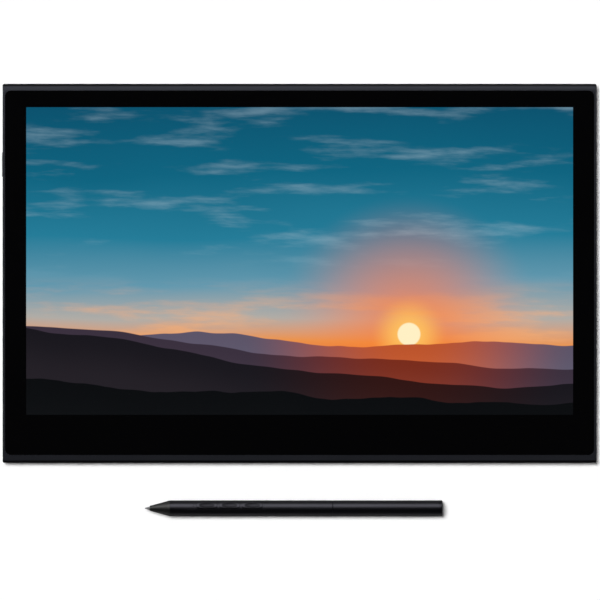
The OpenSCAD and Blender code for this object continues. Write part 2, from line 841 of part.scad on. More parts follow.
// Metal shell of a port, with the wings that lie on the board
module port_shell() {
    translate([0, tablet_y, 0]) {
        difference() {
            on_side(half_w - port_recess, port_y, z_port, port_depth) port_outline(0);
            on_side(half_w, port_y, z_port, half_w) port_outline(-port_shell_t);
        }
        for (side = [-1, 1])
            block(port_end_x + port_wing_back + port_wing_l / 2, port_y + side * (port_w + port_wing_w) / 2,
                port_wing_l, port_wing_w + 2 * close_fit, z_board_top, z_board_top + port_wing_t);
    }
}

// Insulating tongue of a port and the block at its root
module port_tongue() {
    tongue_len = port_depth - tongue_inset;
    translate([0, tablet_y, 0]) {
        on_side(port_end_x + tongue_back, port_y, z_port, tongue_back)
            port_outline(-port_shell_t - contact_gap);
        translate([port_end_x, port_y - tongue_w / 2, z_port - tongue_t / 2])
            cube([tongue_len, tongue_w, tongue_t]);
    }
}

module port_shell_left() {
    color(steel_colour) to_left() port_shell();
}

module port_shell_right() {
    color(steel_colour) port_shell();
}

module port_tongue_left() {
    color(chip_colour) to_left() port_tongue();
}

module port_tongue_right() {
    color(chip_colour) port_tongue();
}

// Push button in the left side, with the flange that keeps it behind the wall
module power_button() {
    cap_len = half_w + power_proud - power_flange_x + overlap;
    flange_l = power_len + 2 * power_flange_lip;
    flange_h = power_h + 2 * power_flange_lip_h;
    nub_from = switch_x + plunger_out;
    color(metal_colour) on_tablet() to_left() {
        on_side(half_w + power_proud, power_y, z_power, cap_len) power_outline(0);
        on_side(power_flange_x, power_y, z_power, power_flange_t)
            polygon(round_rect(flange_l, flange_h, flange_h / 2));
        translate([nub_from, power_y, z_power]) rotate([0, 90, 0])
            cylinder(d = power_nub_d, h = power_flange_x - power_flange_t - nub_from + overlap);
    }
}

// Small push switch on the main board, with the hollow that its plunger slides in
module power_switch() {
    hollow = plunger_in + power_travel + slide_fit;
    color(steel_colour) on_tablet() to_left() difference() {
        translate([switch_x - switch_d, power_y - switch_w / 2, z_board_top])
            cube([switch_d, switch_w, switch_h]);
        on_side(switch_x + overlap, power_y, z_power, hollow + overlap)
            square([plunger_w + 2 * slide_fit, plunger_h + 2 * slide_fit], center = true);
    }
}

module power_plunger() {
    color(chip_colour) on_tablet() to_left()
        translate([switch_x - plunger_in, power_y - plunger_w / 2, z_power - plunger_h / 2])
            cube([plunger_in + plunger_out, plunger_w, plunger_h]);
}

module upper_foot() {
    color(rubber_colour) on_tablet() translate([0, screw_y, 0])
        slab(0, z_hump + foot_recess) foot_outline(0);
}

// Taller bar under the thin part, so that the screen lies level
module lower_foot() {
    color(rubber_colour) on_tablet() translate([0, -screw_y, 0])
        slab(0, z_thin + foot_recess) foot_outline(0);
}

// Screw with its head below and a six-sided drive recess in the head
module screw(seat, head_t, top) {
    difference() {
        union() {
            rod(0, 0, screw_head_d, seat, seat + head_t);
            rod(0, 0, screw_d, seat, top);
        }
        slab(seat - overlap, seat + head_t * drive_depth) polygon(drive_outline);
    }
}

module cover_screws() {
    color(steel_colour) on_tablet() {
        at_screws(screw_y) screw(upper_seat, screw_head_t, upper_screw_top);
        at_screws(-screw_y) screw(lower_seat, screw_head_t, lower_screw_top);
    }
}

module board_screws() {
    color(steel_colour) on_tablet() for (p = board_bosses)
        translate([p.x, p.y, 0]) screw(z_board - board_head_t, board_head_t, z_plate + board_screw_depth);
}

// Body of revolution along the pen: points are radius, then distance from the tip
module turned(points) {
    rotate([0, 90, 0]) rotate_extrude() polygon(points);
}

// Plain tube along the pen, its outer edges broken by the given amounts
module barrel_tube(from, to, from_break, to_break) {
    turned([
        [pen_in_r, from],
        [pen_r - from_break, from],
        [pen_r, from + from_break],
        [pen_r, to - to_break],
        [pen_r - to_break, to],
        [pen_in_r, to]
    ]);
}

// Round-cornered block that stands on the pen's axis and points out through the side buttons
module button_block(u, l, w, r, from, to) {
    translate([u, 0, 0]) slab(from, to) polygon(round_rect(l, w, r));
}

// Round rod along the whole pen
module pen_round(r) {
    rotate([0, 90, 0]) cylinder(r = r, h = pen_len);
}

// Cone with the nib's bore and the hollow for the coil
module nose_cone() {
    front_r = nose_d / 2;
    color(pen_colour) on_pen() turned(concat(
        [[nib_bore_r, nib_out]],
        arc(front_r - nose_edge_r, nib_out + nose_edge_r, nose_edge_r, -90, 0),
        [
            [pen_r, nose_end],
            [spigot_r, nose_end],
            [spigot_r, nose_end + spigot_len],
            [cavity_r, nose_end + spigot_len],
            [cavity_r, coil_start - loose_fit],
            [nib_bore_r, coil_start - loose_fit]
        ]
    ));
}

module nib_shape() {
    turned(concat(
        [[0, nib_len], [nib_r, nib_len], [nib_r, nib_taper]],
        arc(0, nib_point_r, nib_point_r, 0, -90)
    ));
}

module nib() {
    color(nib_colour) on_pen() nib_shape();
}

// Front barrel, with the long opening for the button plate
module grip_barrel() {
    color(pen_colour) on_pen() difference() {
        barrel_tube(nose_end, seam_from_tip, edge_break, seam_break);
        button_block(side_button_from_tip, button_plate_len + 2 * close_fit, button_plate_w + 2 * close_fit,
            button_plate_r, 0, pen_d);
    }
}

module rear_barrel() {
    color(pen_colour) on_pen() barrel_tube(seam_from_tip, tail_start, seam_break, edge_break);
}

module tail_cap() {
    color(pen_colour) on_pen() turned(concat(
        [[0, tail_start - spigot_len], [spigot_r, tail_start - spigot_len], [spigot_r, tail_start]],
        [[pen_r - edge_break, tail_start], [pen_r, tail_start + edge_break]],
        arc(pen_r - tail_edge_r, pen_len - tail_edge_r, tail_edge_r, 0, 90),
        [[0, pen_len]]
    ));
}

// Ring that the rear barrel is screwed on
module barrel_joiner() {
    color(chip_colour) on_pen() turned([
        [joiner_in_r, joiner_start],
        [spigot_r, joiner_start],
        [spigot_r, joiner_end],
        [joiner_in_r, joiner_end]
    ]);
}

// Insert that frames the side buttons, with ribs that stand on the pen's circuit board
module button_plate() {
    rib_places = [for (i = [-0.5, 0.5]) side_button_from_tip + i * side_button_pitch];
    color(pen_colour) on_pen() difference() {
        union() {
            intersection() {
                button_block(side_button_from_tip, button_plate_len, button_plate_w, button_plate_r,
                    plate_low, pen_d);
                pen_round(pen_r);
            }
            for (u = concat(rib_places, [rear_rib_u]))
                translate([u - plate_rib_t / 2, -side_button_w / 2, pen_board_t])
                    cube([plate_rib_t, side_button_w, plate_low - pen_board_t + overlap]);
        }
        for (u = side_button_places)
            button_block(u, side_button_len + 2 * slide_fit, side_button_w + 2 * slide_fit,
                side_button_r + slide_fit, 0, pen_d);
    }
}

// Ring that scoops out a dish: its outside is curved along the button and, more tightly, across it
module dish_ring(along_r) {
    rotate([90, 0, 0]) rotate_extrude() intersection() {
        translate([along_r - dish_across_r, 0]) circle(r = dish_across_r);
        translate([0, -dish_across_r]) square([along_r, 2 * dish_across_r]);
    }
}

// Dished side button with a flange below the plate and a stem over its dome
module side_button(u) {
    crown_r = pen_r + side_button_proud;
    dish_low = sqrt(pow(crown_r, 2) - pow(dish_w / 2, 2)) - side_button_dish;
    dish_fall = crown_r - dish_low;
    dish_along_r = (pow(dish_len / 2, 2) + pow(dish_fall, 2)) / (2 * dish_fall);
    color(pen_colour) on_pen() {
        difference() {
            intersection() {
                button_block(u, side_button_len, side_button_w, side_button_r, flange_low, pen_d);
                pen_round(crown_r);
            }
            translate([u, 0, dish_low + dish_along_r]) dish_ring(dish_along_r);
        }
        button_block(u, side_button_len + 2 * flange_end_lip, 2 * flange_half, side_button_r,
            flange_low, flange_top);
        rod(u, 0, stem_d, stem_low, flange_low + overlap);
    }
}

module side_button_front() {
    side_button(side_button_places[0]);
}

module side_button_middle() {
    side_button(side_button_places[1]);
}

module side_button_rear() {
    side_button(side_button_places[2]);
}

// Half tube that cradles the pressure sensor and carries the circuit board
module pen_chassis() {
    color(chip_colour) on_pen() difference() {
        turned([
            [chassis_in_r, sensor_start],
            [chassis_r, sensor_start],
            [chassis_r, chassis_end],
            [chassis_in_r, chassis_end]
        ]);
        translate([0, -pen_d, 0]) cube([pen_len, 2 * pen_d, pen_d]);
    }
}

// Circuit board of the pen, with the chips on its underside
module pen_board() {
    chip_places = [0.3, 0.62];
    board_len = pen_board_end - pen_board_start;
    color(board_colour) on_pen() {
        translate([pen_board_start, -pen_board_half, 0]) cube([board_len, 2 * pen_board_half, pen_board_t]);
        for (s = chip_places)
            translate([pen_board_start + s * board_len, -pen_board_half / 2, -pen_board_t])
                cube([pen_d, pen_board_half, pen_board_t + overlap]);
    }
}

module dome_switches() {
    color(steel_colour) on_pen() for (u = side_button_places)
        rod(u, 0, dome_d, pen_board_t, pen_board_t + dome_t);
}

module coil_core() {
    color(chip_colour) on_pen() turned([
        [core_bore_r, coil_start],
        [core_r, coil_start],
        [core_r, coil_start + coil_len],
        [core_bore_r, coil_start + coil_len]
    ]);
}

module coil_winding() {
    color(copper_colour) on_pen() turned([
        [core_r + contact_gap, coil_start + winding_inset],
        [winding_r, coil_start + winding_inset],
        [winding_r, coil_start + coil_len - winding_inset],
        [core_r + contact_gap, coil_start + coil_len - winding_inset]
    ]);
}

// Sensor behind the nib, flat on top to clear the front side button
module pressure_sensor() {
    color(steel_colour) on_pen() difference() {
        turned([
            [nib_bore_r, sensor_start],
            [sensor_r, sensor_start],
            [sensor_r, sensor_end],
            [0, sensor_end],
            [0, sensor_bore_end],
            [nib_bore_r, sensor_bore_end]
        ]);
        translate([0, -pen_d, sensor_flat]) cube([pen_len, 2 * pen_d, pen_d]);
    }
}

// Places of the spare nibs round the pen's axis
module at_spare_nibs() {
    for (i = [0 : spare_nib_count - 1])
        rotate([i * 360 / spare_nib_count, 0, 0]) translate([0, 0, spare_nib_ring_r]) children();
}

module nib_holder() {
    color(chip_colour) on_pen() difference() {
        translate([nib_holder_start, 0, 0]) rotate([0, 90, 0]) cylinder(r = chassis_r, h = nib_holder_len);
        at_spare_nibs() translate([nib_holder_start - overlap, 0, 0]) rotate([0, 90, 0])
            cylinder(r = nib_r + close_fit, h = nib_holder_len - nib_holder_floor + overlap);
    }
}

// Spare nibs stand out of the holder towards the front, where fingers pull them
module spare_nibs() {
    tail_u = nib_holder_start + nib_holder_len - nib_holder_floor - loose_fit;
    color(nib_colour) on_pen() at_spare_nibs()
        translate([tail_u - nib_len, 0, 0]) nib_shape();
}

rear_cover();
front_frame();
support_plate();
cover_glass();
glass_tape();
display_panel();
digitizer_board();
digitizer_shield();
digitizer_ribbon();
display_driver_board();
panel_ribbons();
link_ribbon();
main_board();
board_chips();
shield_can();
port_board();
port_ribbon();
port_shell_left();
port_tongue_left();
port_shell_right();
port_tongue_right();
power_button();
power_switch();
power_plunger();
upper_foot();
lower_foot();
cover_screws();
board_screws();
nose_cone();
nib();
grip_barrel();
rear_barrel();
tail_cap();
barrel_joiner();
button_plate();
side_button_front();
side_button_middle();
side_button_rear();
pen_chassis();
pen_board();
dome_switches();
coil_core();
coil_winding();
pressure_sensor();
nib_holder();
spare_nibs();
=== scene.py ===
"""Looks of a pen display and its pen: finishes, lit picture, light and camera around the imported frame."""

import json
import math

import bmesh
import bpy
from mathutils import Matrix, Vector


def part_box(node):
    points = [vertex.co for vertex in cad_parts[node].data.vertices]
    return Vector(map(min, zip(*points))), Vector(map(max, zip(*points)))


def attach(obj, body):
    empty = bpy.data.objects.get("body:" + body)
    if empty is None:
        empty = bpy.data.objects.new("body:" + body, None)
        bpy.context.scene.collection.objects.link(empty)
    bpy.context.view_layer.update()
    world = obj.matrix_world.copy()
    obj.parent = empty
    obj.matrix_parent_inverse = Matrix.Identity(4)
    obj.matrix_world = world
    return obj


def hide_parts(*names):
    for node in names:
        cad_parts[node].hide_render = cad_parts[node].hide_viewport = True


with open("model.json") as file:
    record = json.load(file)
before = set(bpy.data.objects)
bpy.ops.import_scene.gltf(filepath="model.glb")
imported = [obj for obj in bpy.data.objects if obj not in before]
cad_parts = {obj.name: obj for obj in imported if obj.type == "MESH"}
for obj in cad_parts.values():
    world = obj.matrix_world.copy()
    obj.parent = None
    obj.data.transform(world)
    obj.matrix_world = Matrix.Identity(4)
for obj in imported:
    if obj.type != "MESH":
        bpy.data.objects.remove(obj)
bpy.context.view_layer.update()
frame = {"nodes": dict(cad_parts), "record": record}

MM = 0.001
BLACK = (0.0, 0.0, 0.0, 1.0)
WHITE = (1.0, 1.0, 1.0, 1.0)

# Camera: straight above, far away, so that the view spans this width at the height of the glass
VIEW_WIDTH = 321.3 * MM
VIEW_CENTRE = (0.20 * MM, 0.02 * MM)
CAMERA_HEIGHT = 3.0
CAMERA_REACH = 100.0
SENSOR_WIDTH = 36.0

# Light: a soft key from above and the upper left, a softbox beyond the tablet's top edge, and a dim sky
KEY_TILT = math.radians(19)
KEY_TURN = math.radians(45)
KEY_SOFTNESS = math.radians(24)
KEY_STRENGTH = 3.135
SOFTBOX_PLACE = Vector((-0.20, 0.78, 0.95))
SOFTBOX_SIZE = (1.30, 1.10)
SOFTBOX_RADIANCE = 10.0
SKY_RADIANCE = 0.12

# Heights in the sky, from 0 at the horizon to 1 overhead: the edges of its dark cap and of its white foot
SKY_DARK_CAP = (0.95, 0.80)
SKY_HORIZON = (0.14, 0.03)

# Floor: a white sheet with a faint glow, so that it is plain white where no shadow falls
FLOOR_SIZE = 6.0
FLOOR_COLOUR = (0.96, 0.96, 0.96, 1.0)
FLOOR_ROUGHNESS = 0.9
FLOOR_GLOW = 0.03

# Grained finishes: slow changes of tone per metre, and the values between which tones and noise mostly lie
SLOW_TONE = 40.0
TONE_SPAN = (0.25, 0.75)
NOISE_SPAN = (0.3, 0.7)

# Painted shade on the metal rim, a darker colour that stands in for the shade along its edges: strips along
# the top and bottom edges, by the distances from the edge at which they start and are full, and slopes, by
# how far they lean to the top or bottom; then the colour of the painted shade
PAINTED_SHADE_EDGE = (1.55 * MM, 1.25 * MM)
PAINTED_SHADE_LEAN = (0.30, 0.50)
PAINTED_SHADE_COLOUR = (0.003, 0.003, 0.0036, 1.0)

# Brushed lines of the support plate, per metre along and across them
BRUSH_ALONG = 60.0
BRUSH_ACROSS = 4000.0

# Boards, ribbons and wire: scales of their textures, per metre, and edges of the tracks and stripes
TRACK_SCALE = 420.0
TRACK_EDGE = (0.30, 0.42)
LACQUER_SCALE = 900.0
STRIPE_SCALE = 320.0
STRIPE_EDGE = (0.35, 0.65)
FILM_SCALE = 500.0
WIRE_SCALE = 1300.0

# Soft coating of the pen: colours of barrels and nose, tint of the gloss, how far the surface has to face
# away for it to get matt, and the roughness that this adds
PEN_BLACK = (0.0005, 0.0005, 0.0007)
NOSE_BLACK = (0.0005, 0.0005, 0.0005)
PEN_TINT = (0.86, 0.85, 1.0, 1.0)
GLANCING = (0.25, 0.75)
GLANCING_ROUGHNESS = 0.5

# Matt dishes of the side buttons: where their texture ends, from the middle of a button, and what it adds
DISH_EDGE = (3.5 * MM, 4.6 * MM)
DISH_ROUGHNESS = 0.15

# Stretch of the nib that paper and glass have worn, how far it has paled there and to what colour
WORN_LENGTH = 1.2 * MM
WORN_SHARE = 0.5
WORN_COLOUR = (0.19, 0.19, 0.195, 1.0)

# Edges of the display panel that stay dark round the lit picture
PANEL_SIDE = 1.2 * MM
PANEL_TOP = 2.0 * MM
PANEL_BOTTOM = 5.0 * MM

# Etching of the cover glass, per metre
ETCH_SCALE = 9000.0

# Contacts on the tongue of a port
CONTACT_COUNT = 12
CONTACT_PITCH = 0.5 * MM
CONTACT_WIDTH = 0.26 * MM
CONTACT_LENGTH = 3.6 * MM
CONTACT_HEIGHT = 0.05 * MM
CONTACT_ROUNDING = CONTACT_HEIGHT / 3
CONTACT_SEGMENTS = 2
CONTACT_FROM_TIP = 0.7 * MM
TONGUE_THICKNESS = 0.7 * MM

# Threaded joiner between the two barrels of the pen; its thread is measured from the rear end
JOINER_WALL = 0.9 * MM
JOINER_CHAMFER = 0.3 * MM
JOINER_STEP = 0.1 * MM
THREAD_PITCH = 0.8 * MM
THREAD_DEPTH = 0.28 * MM
THREAD_FROM_END = 0.5 * MM
THREAD_TURNS = 5
THREAD_RUN_OUT = 0.4
TURN_STEPS = 72

# Rounding of the edges that show
EDGE_ROUNDING = {
    "rear_cover": 0.12 * MM,
    "front_frame": 0.10 * MM,
    "cover_glass": 0.14 * MM,
    "power_button": 0.25 * MM,
    "upper_foot": 0.35 * MM,
    "lower_foot": 0.35 * MM,
    "port_shell_left": 0.04 * MM,
    "port_shell_right": 0.04 * MM,
    "port_tongue_left": 0.08 * MM,
    "port_tongue_right": 0.08 * MM,
    "side_button_front": 0.10 * MM,
    "side_button_middle": 0.10 * MM,
    "side_button_rear": 0.10 * MM,
    "grip_barrel": 0.05 * MM,
    "rear_barrel": 0.05 * MM,
    "tail_cap": 0.05 * MM,
    "nose_cone": 0.05 * MM,
    "nib": 0.05 * MM,
    "nib_holder": 0.10 * MM,
    "spare_nibs": 0.05 * MM,
}

# How their flat facets are joined, which of their edges are sharp, and how finely these are rounded
WELD_DISTANCE = 0.001 * MM
FLAT_ANGLE = math.radians(0.2)
EDGE_ANGLE = math.radians(32)
EDGE_SEGMENTS = 3


def srgb(red, green, blue):
    """Linear colour of display values from 0 to 255."""
    def linear(value):
        part = value / 255
        return part / 12.92 if part <= 0.04045 else ((part + 0.055) / 1.055) ** 2.4

    return (linear(red), linear(green), linear(blue), 1.0)


# Picture on the screen: its width for a height of 1, and the sun's place as shares of width and height
PICTURE_ASPECT = 1.78
SUN_PLACE = (0.70, 0.262)

# Evening sky: colours by height, and the noise that bends their bands
SKY_COLOURS = (
    (0.16, srgb(222, 92, 32)),
    (0.23, srgb(234, 148, 78)),
    (0.31, srgb(176, 172, 166)),
    (0.42, srgb(98, 152, 174)),
    (0.58, srgb(36, 124, 152)),
    (0.78, srgb(13, 100, 128)),
    (1.00, srgb(8, 82, 110)),
)
SKY_BEND = 0.16
SKY_BEND_FLATNESS = 2.0
SKY_BEND_NOISE = dict(scale=0.9, detail=2.0)

# Thin clouds: pale ones high up and warm ones near the hills, from the same slanted streaks
CLOUD_SLANT = 0.6
CLOUD_FLATNESS = 6.0
CLOUD_NOISE = dict(scale=2.1, detail=6.0, roughness=0.55)
CLOUDS = (
    dict(edge=(0.50, 0.72), height=(0.40, 0.62), strength=0.35, colour=srgb(168, 198, 212)),
    dict(edge=(0.46, 0.64), height=(0.46, 0.30), strength=0.5, colour=srgb(252, 176, 112)),
)

# Sun: its wide glow, narrow glow and disc, by the distances from its middle at which each starts and is
# full, and its light on the hills by the same measure
SUN_RINGS = (
    dict(edge=(0.46, 0.0), strength=0.75, colour=srgb(250, 128, 44)),
    dict(edge=(0.13, 0.02), strength=0.9, colour=srgb(255, 196, 96)),
    dict(edge=(0.040, 0.034), strength=1.0, colour=srgb(255, 240, 196)),
)
SUN_ON_HILLS = (0.55, 0.05)

# Hills from far to near: their lines, and the colours of their tops and mist away from the sun and near it
HILLS = (
    dict(
        line=dict(base=0.225, left_rise=0.06, height=0.09, frequency=4.2, seed=3.1),
        top=(srgb(92, 84, 104), srgb(188, 84, 44)),
        mist=(srgb(98, 96, 116), srgb(214, 104, 52)),
    ),
    dict(
        line=dict(base=0.155, left_rise=0.15, height=0.10, frequency=3.1, seed=8.4),
        top=(srgb(58, 48, 62), srgb(122, 44, 26)),
        mist=(srgb(74, 62, 76), srgb(150, 62, 36)),
    ),
    dict(
        line=dict(base=0.095, left_rise=0.20, height=0.09, frequency=3.6, seed=5.7),
        top=(srgb(24, 22, 28), srgb(50, 20, 16)),
        mist=(srgb(36, 32, 38), srgb(70, 30, 22)),
    ),
    dict(
        line=dict(base=0.045, left_rise=0.07, height=0.08, frequency=5.0, seed=1.3),
        top=(srgb(9, 11, 13), srgb(9, 11, 13)),
        mist=(srgb(14, 16, 18), srgb(14, 16, 18)),
    ),
)
HILL_NOISE = dict(scale=1.0, detail=3.0, roughness=0.45)
HILL_EDGE = (-0.0012, 0.0012)
MIST_DEPTH = 0.16


class Graph:
    """Writes shader nodes; an input is a socket, a number, a vector or a colour."""

    def __init__(self, tree):
        self.tree = tree

    def node(self, kind, inputs=None, **settings):
        made = self.tree.nodes.new(kind)
        for name, value in settings.items():
            setattr(made, name, value)
        for name, value in (inputs or {}).items():
            self.plug(made.inputs[name], value)
        return made

    def plug(self, socket, value):
        if isinstance(value, bpy.types.NodeSocket):
            self.tree.links.new(value, socket)
        else:
            socket.default_value = value

    def math(self, operation, *values):
        return self.node("ShaderNodeMath", dict(enumerate(values)), operation=operation).outputs[0]

    def add(self, a, b):
        return self.math("ADD", a, b)

    def multiply(self, a, b):
        return self.math("MULTIPLY", a, b)

    def scaled(self, value, low, high, to_low=0.0, to_high=1.0, **settings):
        """Carries the span from low to high over to the span from to_low to to_high."""
        inputs = {"Value": value, "From Min": low, "From Max": high, "To Min": to_low, "To Max": to_high}
        return self.node("ShaderNodeMapRange", inputs, **settings).outputs["Result"]

    def smooth(self, value, low, high, to_low=0.0, to_high=1.0):
        """Soft step from to_low at low to to_high at high, level beyond them."""
        return self.scaled(value, low, high, to_low, to_high, interpolation_type="SMOOTHSTEP")

    def mix(self, factor, a, b):
        """Colour between a and b; inputs 6 and 7 and output 2 of the node are the ones for colours."""
        return self.node("ShaderNodeMix", {0: factor, 6: a, 7: b}, data_type="RGBA").outputs[2]

    def noise(self, vector, scale, detail=2.0, roughness=0.5):
        inputs = {"Vector": vector, "Scale": scale, "Detail": detail, "Roughness": roughness}
        return self.node("ShaderNodeTexNoise", inputs).outputs["Fac"]

    def swing(self, vector, **look):
        """Noise that swings round zero."""
        return self.add(self.noise(vector, **look), -0.5)

    def bands(self, vector, scale):
        """Waves that follow each other along X."""
        inputs = {"Vector": vector, "Scale": scale}
        return self.node("ShaderNodeTexWave", inputs, bands_direction="X").outputs["Fac"]

    def vector(self, x, y, z=0.0):
        return self.node("ShaderNodeCombineXYZ", {0: x, 1: y, 2: z}).outputs[0]

    def split(self, vector):
        return self.node("ShaderNodeSeparateXYZ", {0: vector}).outputs

    def ramp(self, value, stops):
        made = self.node("ShaderNodeValToRGB", {"Fac": value})
        elements = made.color_ramp.elements
        while len(elements) < len(stops):
            elements.new(0.5)
        for element, (place, colour) in zip(elements, stops):
            element.position = place
            element.color = colour
        return made.outputs["Color"]

    def bump(self, height, distance):
        return self.node("ShaderNodeBump", {"Height": height, "Distance": distance}).outputs["Normal"]

    def place(self):
        """Place on the object, in metres."""
        return self.node("ShaderNodeTexCoord").outputs["Object"]

    def normal(self):
        """Direction that the surface faces, in the object's own frame."""
        return self.node("ShaderNodeTexCoord").outputs["Normal"]


class Finish(Graph):
    """A material with one surface shader."""

    def __init__(self, name):
        self.material = bpy.data.materials.new(name)
        self.material.use_nodes = True
        super().__init__(self.material.node_tree)
        self.shader = self.tree.nodes["Principled BSDF"]

    def set(self, **inputs):
        """Feeds inputs of the shader, named in small letters."""
        for name, value in inputs.items():
            self.plug(self.shader.inputs[name.replace("_", " ").title().replace("Ior", "IOR")], value)

    def now(self, name):
        """What feeds an input of the shader so far."""
        return self.shader.inputs[name].links[0].from_socket


def grained(name, colour, grain, depth, roughness, metallic=0.0, mottle=0.25, spread=0.08):
    """Finish with a fine even grain of the given size and depth, and slow changes of tone."""
    made = Finish(name)
    place = made.place()
    fine = made.noise(place, 1 / grain, detail=3.0, roughness=0.6)
    slow = made.noise(place, SLOW_TONE, detail=4.0)
    tone = made.multiply(made.add(fine, slow), 0.5)
    dark = tuple(c * (1 - mottle) for c in colour) + (1.0,)
    light = tuple(c * (1 + mottle) for c in colour) + (1.0,)
    made.set(
        base_color=made.mix(tone, dark, light),
        roughness=made.scaled(tone, *TONE_SPAN, roughness - spread, roughness + spread),
        metallic=metallic,
        normal=made.bump(fine, depth),
    )
    return made


def cover_plastic():
    """Moulded plastic of the back, with a fine texture."""
    return grained("cover_plastic", (0.020, 0.020, 0.022), grain=0.22 * MM, depth=0.02 * MM, roughness=0.58)


def frame_metal():
    """Bead-blasted, dark anodised metal, with painted shade that makes it blacker along the top and bottom
    edges.
    """
    made = grained(
        "frame_metal", (0.0138, 0.0146, 0.0180), grain=0.12 * MM, depth=0.004 * MM, roughness=0.28,
        metallic=0.16, mottle=0.12,
    )
    low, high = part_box("front_frame")
    middle = (low.y + high.y) / 2
    half = (high.y - low.y) / 2
    # Painted shade: the rim's colour goes blacker on strips along its top and bottom edges and on slopes
    # leaning that way
    lean = made.math("ABSOLUTE", made.split(made.normal())[1])
    away = made.math("ABSOLUTE", made.add(made.split(made.place())[1], -middle))
    shade_strip = made.smooth(away, *(half - edge for edge in PAINTED_SHADE_EDGE))
    painted_shade = made.math("MAXIMUM", made.smooth(lean, *PAINTED_SHADE_LEAN), shade_strip)
    made.set(
        base_color=made.mix(painted_shade, made.now("Base Color"), PAINTED_SHADE_COLOUR),
        specular_ior_level=0.05,
        specular_tint=(0.25, 0.25, 0.27, 1.0),
    )
    return made


def plate_metal():
    """Brushed metal."""
    made = Finish("plate_metal")
    x, y, z = made.split(made.place())
    stretched = made.vector(made.multiply(x, BRUSH_ALONG), made.multiply(y, BRUSH_ACROSS), z)
    lines = made.noise(stretched, 1.0, detail=3.0)
    made.set(
        base_color=made.mix(lines, (0.36, 0.37, 0.38, 1.0), (0.48, 0.49, 0.50, 1.0)),
        roughness=made.scaled(lines, *NOISE_SPAN, 0.28, 0.42),
        metallic=1.0,
        normal=made.bump(lines, 0.004 * MM),
    )
    return made


def tape():
    """Matt black foam tape."""
    return grained("tape", (0.012, 0.012, 0.012), grain=0.3 * MM, depth=0.05 * MM, roughness=0.8)


def panel_glass():
    """Smooth dark glass of the display panel."""
    return grained(
        "panel_glass", (0.008, 0.008, 0.010), grain=1.5 * MM, depth=0.0005 * MM, roughness=0.12,
        spread=0.03,
    )


def circuit_board():
    """Green lacquer over copper tracks."""
    made = Finish("circuit_board")
    place = made.place()
    cells = made.node("ShaderNodeTexVoronoi", {"Vector": place, "Scale": TRACK_SCALE}, distance="MANHATTAN")
    tracks = made.smooth(cells.outputs["Distance"], *TRACK_EDGE)
    made.set(
        base_color=made.mix(tracks, (0.006, 0.06, 0.030, 1.0), (0.012, 0.13, 0.06, 1.0)),
        roughness=made.scaled(made.noise(place, LACQUER_SCALE), *NOISE_SPAN, 0.30, 0.42),
        normal=made.bump(tracks, 0.02 * MM),
    )
    return made


def ribbon_film():
    """Amber film with the conductors showing through as fine stripes."""
    made = Finish("ribbon_film")
    place = made.place()
    bars = made.smooth(made.bands(place, STRIPE_SCALE), *STRIPE_EDGE)
    made.set(
        base_color=made.mix(bars, (0.30, 0.12, 0.02, 1.0), (0.42, 0.20, 0.05, 1.0)),
        roughness=made.scaled(made.noise(place, FILM_SCALE), *NOISE_SPAN, 0.22, 0.36),
        normal=made.bump(bars, 0.01 * MM),
    )
    return made


def chip_resin():
    """Black moulding resin."""
    return grained("chip_resin", (0.014, 0.014, 0.015), grain=0.15 * MM, depth=0.008 * MM, roughness=0.55)


def bright_steel():
    """Clean steel of screws, shells and shield."""
    return grained(
        "bright_steel", (0.56, 0.56, 0.57), grain=0.4 * MM, depth=0.002 * MM, roughness=0.24,
        metallic=1.0, mottle=0.06,
    )


def contact_gold():
    """Thin gilding of the contacts."""
    return grained(
        "contact_gold", (0.80, 0.56, 0.22), grain=0.2 * MM, depth=0.001 * MM, roughness=0.22,
        metallic=1.0, mottle=0.06,
    )


def foot_rubber():
    """Dull black rubber."""
    return grained("foot_rubber", (0.014, 0.014, 0.0145), grain=0.5 * MM, depth=0.04 * MM, roughness=0.82)


def soft_plastic(name, colour, grain, depth, roughness, gloss):
    """Black plastic with a soft coating that is more matt at glancing angles."""
    made = grained(name, colour, grain, depth, roughness)
    facing = made.node("ShaderNodeLayerWeight").outputs["Facing"]
    matt = made.smooth(facing, *GLANCING, 0.0, GLANCING_ROUGHNESS)
    made.set(roughness=made.add(made.now("Roughness"), matt), specular_ior_level=gloss)
    return made


def pen_plastic():
    """Coated plastic of the pen's barrels."""
    made = soft_plastic(
        "pen_plastic", PEN_BLACK, grain=0.18 * MM, depth=0.006 * MM, roughness=0.38, gloss=0.15,
    )
    made.set(specular_tint=PEN_TINT)
    return made


def nose_plastic():
    """Plastic of the pen's nose, plainer in tone and more matt than its barrels."""
    return soft_plastic(
        "nose_plastic", NOSE_BLACK, grain=0.18 * MM, depth=0.006 * MM, roughness=0.49, gloss=0.28,
    )


def button_plastic():
    """Like the pen's plastic, with a matt texture in the dishes."""
    made = soft_plastic(
        "button_plastic", PEN_BLACK, grain=0.16 * MM, depth=0.004 * MM, roughness=0.38, gloss=0.15,
    )
    middles = [sum(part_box("side_button_" + which), Vector()).x / 2 for which in ("front", "middle")]
    along = made.add(made.split(made.place())[0], -middles[0])
    away = made.math("PINGPONG", along, (middles[1] - middles[0]) / 2)
    matt = made.smooth(away, *DISH_EDGE, DISH_ROUGHNESS, 0.0)
    made.set(roughness=made.add(made.now("Roughness"), matt), specular_tint=PEN_TINT)
    return made


def nib_plastic():
    """Grey plastic, paler at the worn point of the nib in use."""
    made = grained("nib_plastic", (0.10, 0.10, 0.105), grain=0.1 * MM, depth=0.01 * MM, roughness=0.45)
    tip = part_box("nib")[0].x
    worn = made.smooth(made.split(made.place())[0], tip + WORN_LENGTH, tip, 0.0, WORN_SHARE)
    made.set(base_color=made.mix(worn, made.now("Base Color"), WORN_COLOUR))
    return made


def ferrite():
    """Dull grey core of the coil."""
    return grained("ferrite", (0.03, 0.03, 0.032), grain=0.2 * MM, depth=0.02 * MM, roughness=0.6)


